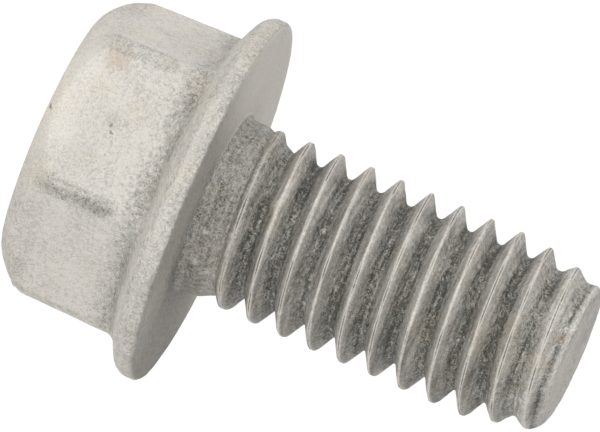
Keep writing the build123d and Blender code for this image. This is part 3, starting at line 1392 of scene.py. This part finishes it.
@dataclass(frozen=True)
class StudioPaper:
    """White diffusing sheet lit from below, which keeps the shadow that falls on it.

    The camera and clear reflections see more of its glow than the bolt is lit by.
    """

    colour: str = "#F4F4F4"
    seen_glow: float = 0.82
    glow_level: float = 1.13
    cast_glow: float = 0.37

    def material(self) -> bpy.types.Material:
        """Builds the node material.

        Returns:
            The material.
        """
        material = bpy.data.materials.new("studio_paper")
        tree = empty_tree(material)
        paper = add(tree, "ShaderNodeBsdfDiffuse", {"Color": linear(self.colour)})
        white = add(tree, "ShaderNodeEmission", {"Strength": self.glow_level})
        rays = add(tree, "ShaderNodeLightPath").outputs
        inputs = {0: rays["Is Camera Ray"], 1: rays["Is Glossy Ray"]}
        seen = add(tree, "ShaderNodeMath", inputs, operation="MAXIMUM")
        inputs = {0: seen.outputs[0], 1: rays["Is Transmission Ray"]}
        seen = add(tree, "ShaderNodeMath", inputs, operation="MAXIMUM")
        inputs = {"Value": seen.outputs[0], "To Min": self.cast_glow, "To Max": self.seen_glow}
        share = add(tree, "ShaderNodeMapRange", inputs)
        inputs = {0: share.outputs[0], 1: paper.outputs[0], 2: white.outputs[0]}
        mixed = add(tree, "ShaderNodeMixShader", inputs)
        add(tree, "ShaderNodeOutputMaterial", {"Surface": mixed.outputs[0]})
        return material


# --------------------------------------------------------------------------- studio


def outward(azimuth: float, elevation: float) -> Vector:
    """Direction from the bolt, by its turn from straight ahead and its elevation."""
    turn, high = math.radians(azimuth), math.radians(elevation)
    return Vector((math.sin(turn) * math.cos(high), -math.cos(turn) * math.cos(high), math.sin(high)))


@dataclass(frozen=True)
class ViewCamera:
    """Far camera with a long lens, a little above the flange, rolled so the shank points down right.

    The field's width is measured at the bolt, and the aim is how far the middle of the view lies to
    the right of the bolt's origin and above it.
    """

    azimuth: float = 12.4
    elevation: float = 7.66
    axis_tilt: float = 23.47
    distance: float = 900.0
    field_width: float = 28.92
    aim_right: float = 4.181
    aim_up: float = -0.64
    sensor_width: float = 36.0
    nearest: float = 50.0
    farthest: float = 10000.0

    def axes(self) -> tuple[Vector, Vector, Vector]:
        """The view's right, up and back directions in the bolt's frame.

        Returns:
            Three unit vectors.
        """
        turn, high = math.radians(self.azimuth), math.radians(self.elevation)
        side = Vector((-math.cos(turn), -math.sin(turn), 0))
        along = Vector((-math.sin(turn) * math.sin(high), math.cos(turn) * math.sin(high), math.cos(high)))
        tilt = math.radians(self.axis_tilt)
        right = side * math.sin(tilt) + along * math.cos(tilt)
        up = side * math.cos(tilt) - along * math.sin(tilt)
        return right, up, outward(self.azimuth, self.elevation)

    def build(self) -> bpy.types.Object:
        """Makes the camera and gives it to the scene.

        Returns:
            The camera object.
        """
        right, up, back = self.axes()
        data = bpy.data.cameras.new("view_camera")
        data.sensor_width = self.sensor_width
        data.lens = self.sensor_width * self.distance / self.field_width
        data.clip_start, data.clip_end = self.nearest * MM, self.farthest * MM
        camera = bpy.data.objects.new("view_camera", data)
        aim = (right * self.aim_right + up * self.aim_up) * MM
        place = aim + back * self.distance * MM
        camera.matrix_world = Matrix.Translation(place) @ Matrix((right, up, back)).transposed().to_4x4()
        bpy.context.scene.collection.objects.link(camera)
        bpy.context.scene.camera = camera
        return camera


@dataclass(frozen=True)
class SoftLamp:
    """Square soft box aimed at the bolt, placed by its turn from the camera and its elevation."""

    name: str
    turn: float
    elevation: float
    power: float
    distance: float = 600.0
    size: float = 160.0

    def build(self, view: ViewCamera) -> None:
        """Makes the lamp.

        Args:
            view: The camera from whose azimuth the lamp's turn is counted.
        """
        data = bpy.data.lights.new(self.name, "AREA")
        data.shape, data.size, data.energy = "SQUARE", self.size * MM, self.power
        lamp = bpy.data.objects.new(self.name, data)
        place = outward(view.azimuth - self.turn, self.elevation)
        lamp.location = place * self.distance * MM
        lamp.rotation_mode = "QUATERNION"
        lamp.rotation_quaternion = (-place).to_track_quat("-Z", "Y")
        bpy.context.scene.collection.objects.link(lamp)


@dataclass(frozen=True)
class Studio:
    """Floor, surrounding light and lamps."""

    floor_half: float = 1500.0
    white: str = "#FFFFFF"
    wall_light: float = 0.98
    ceiling_light: float = 0.36
    wall_top: float = 0.28       # sine of the elevation where the walls start to dim
    ceiling_start: float = 0.42  # and of the elevation where they have become the ceiling
    lamps: tuple[SoftLamp, ...] = (
        SoftLamp("front_box", turn=0.0, elevation=9.0, power=0.95),
        SoftLamp("side_box", turn=40.0, elevation=9.0, power=0.45),
        SoftLamp("far_side_box", turn=-90.0, elevation=9.0, power=0.34),
        SoftLamp("high_box", turn=75.0, elevation=55.0, power=0.75),
    )

    def build(self, view: ViewCamera, floor_height: float) -> None:
        """Lays the floor and sets the light.

        Args:
            view: The camera whose directions place the lamps.
            floor_height: Height of the floor, in metres.
        """
        half = self.floor_half * MM
        corners = [(-half, -half, 0), (half, -half, 0), (half, half, 0), (-half, half, 0)]
        mesh = bpy.data.meshes.new("paper_floor")
        mesh.from_pydata(corners, [], [(0, 1, 2, 3)])
        floor = bpy.data.objects.new("paper_floor", mesh)
        floor.location.z = floor_height
        mesh.materials.append(StudioPaper().material())
        bpy.context.scene.collection.objects.link(floor)
        self.surround()
        for lamp in self.lamps:
            lamp.build(view)

    def surround(self) -> None:
        """Bright walls and a dim ceiling, which the camera sees as white."""
        world = bpy.data.worlds.new("studio_surround")
        tree = empty_tree(world)
        rays = add(tree, "ShaderNodeLightPath").outputs
        inputs = {0: rays["Is Camera Ray"], 1: rays["Is Transmission Ray"]}
        seen = add(tree, "ShaderNodeMath", inputs, operation="MAXIMUM")
        direction = add(tree, "ShaderNodeTexCoord").outputs["Generated"]
        inputs = {
            "Value": add(tree, "ShaderNodeSeparateXYZ", {"Vector": direction}).outputs["Z"],
            "From Min": self.wall_top,
            "From Max": self.ceiling_start,
            "To Min": self.wall_light,
            "To Max": self.ceiling_light,
        }
        level = add(tree, "ShaderNodeMapRange", inputs)
        white = linear(self.white)
        light = add(tree, "ShaderNodeBackground", {"Color": white, "Strength": level.outputs[0]})
        plain = add(tree, "ShaderNodeBackground", {"Color": white, "Strength": 1.0})
        inputs = {0: seen.outputs[0], 1: light.outputs[0], 2: plain.outputs[0]}
        mixed = add(tree, "ShaderNodeMixShader", inputs)
        add(tree, "ShaderNodeOutputWorld", {"Surface": mixed.outputs[0]})
        bpy.context.scene.world = world


# --------------------------------------------------------------------------- the scene


def main() -> None:
    """Builds the bolt, its finish and the studio in order."""
    logging.basicConfig(level=logging.INFO, format="%(name)s: %(message)s")
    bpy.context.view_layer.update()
    low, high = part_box(BOLT_NODE)

    view = ViewCamera()
    view.build()

    head = HexFlangeHead(height=-low[2] / MM, flange_radius=min(-low[0], high[0], -low[1], high[1]) / MM)
    shank = ThreadedShank(length=high[2] / MM)
    bolt = FlangeBolt(head, shank, HeadMarks(head), ShankMarks(shank), ZincLumps(), BEADS)
    piece = bolt.build()
    bpy.context.scene.collection.objects.link(piece)
    bolt.mark_surface(piece)
    bolt.add_zinc_lumps(piece)
    piece.data.shade_smooth()
    piece.data.materials.append(GalvanisedZinc(spots=SPOTS).material())
    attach(piece, BODY)
    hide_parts(BOLT_NODE)
    log.info("%s: %d faces", piece.name, len(piece.data.polygons))

    Studio().build(view, floor_height=low[2])

    scene = bpy.context.scene
    scene.view_settings.view_transform = "Standard"


if __name__ == "__main__":
    main()
